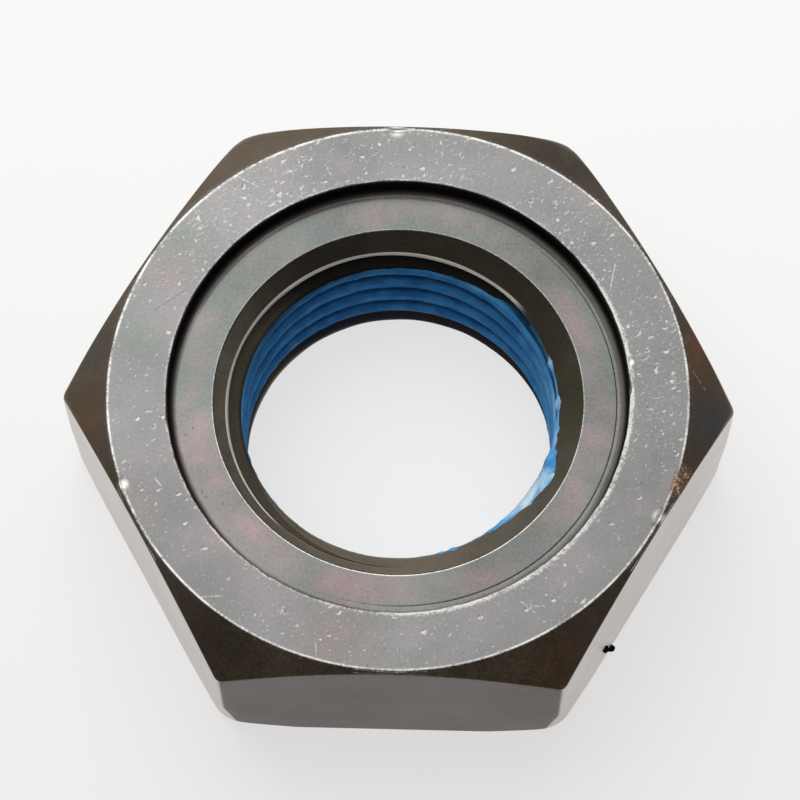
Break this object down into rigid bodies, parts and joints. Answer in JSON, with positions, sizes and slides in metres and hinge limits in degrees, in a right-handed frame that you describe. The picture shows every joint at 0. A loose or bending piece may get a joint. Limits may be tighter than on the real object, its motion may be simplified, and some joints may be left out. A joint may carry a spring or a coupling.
{
  "type": "recessed hexagon lock nut",
  "caption": "Plated steel hexagon nut with a recessed bearing face, countersunk thread and blue dry locking film, used to hold a drive flange on a splined shaft.",
  "frame": {"origin": "centre of the lower face, on the thread axis", "axes": "+Z along the thread, out of the recessed bearing face; +X through a corner of the hexagon"},
  "size_m": [0.031, 0.027, 0.009],
  "materials": {
    "plated_steel": "zinc plated with a dark, slightly iridescent passivation, satin",
    "locking_film": "dried blue locking compound, matt"
  },
  "bodies": {
    "root": {"nut_body": "plated_steel", "locking_film": "locking_film"}
  },
  "joints": []
}
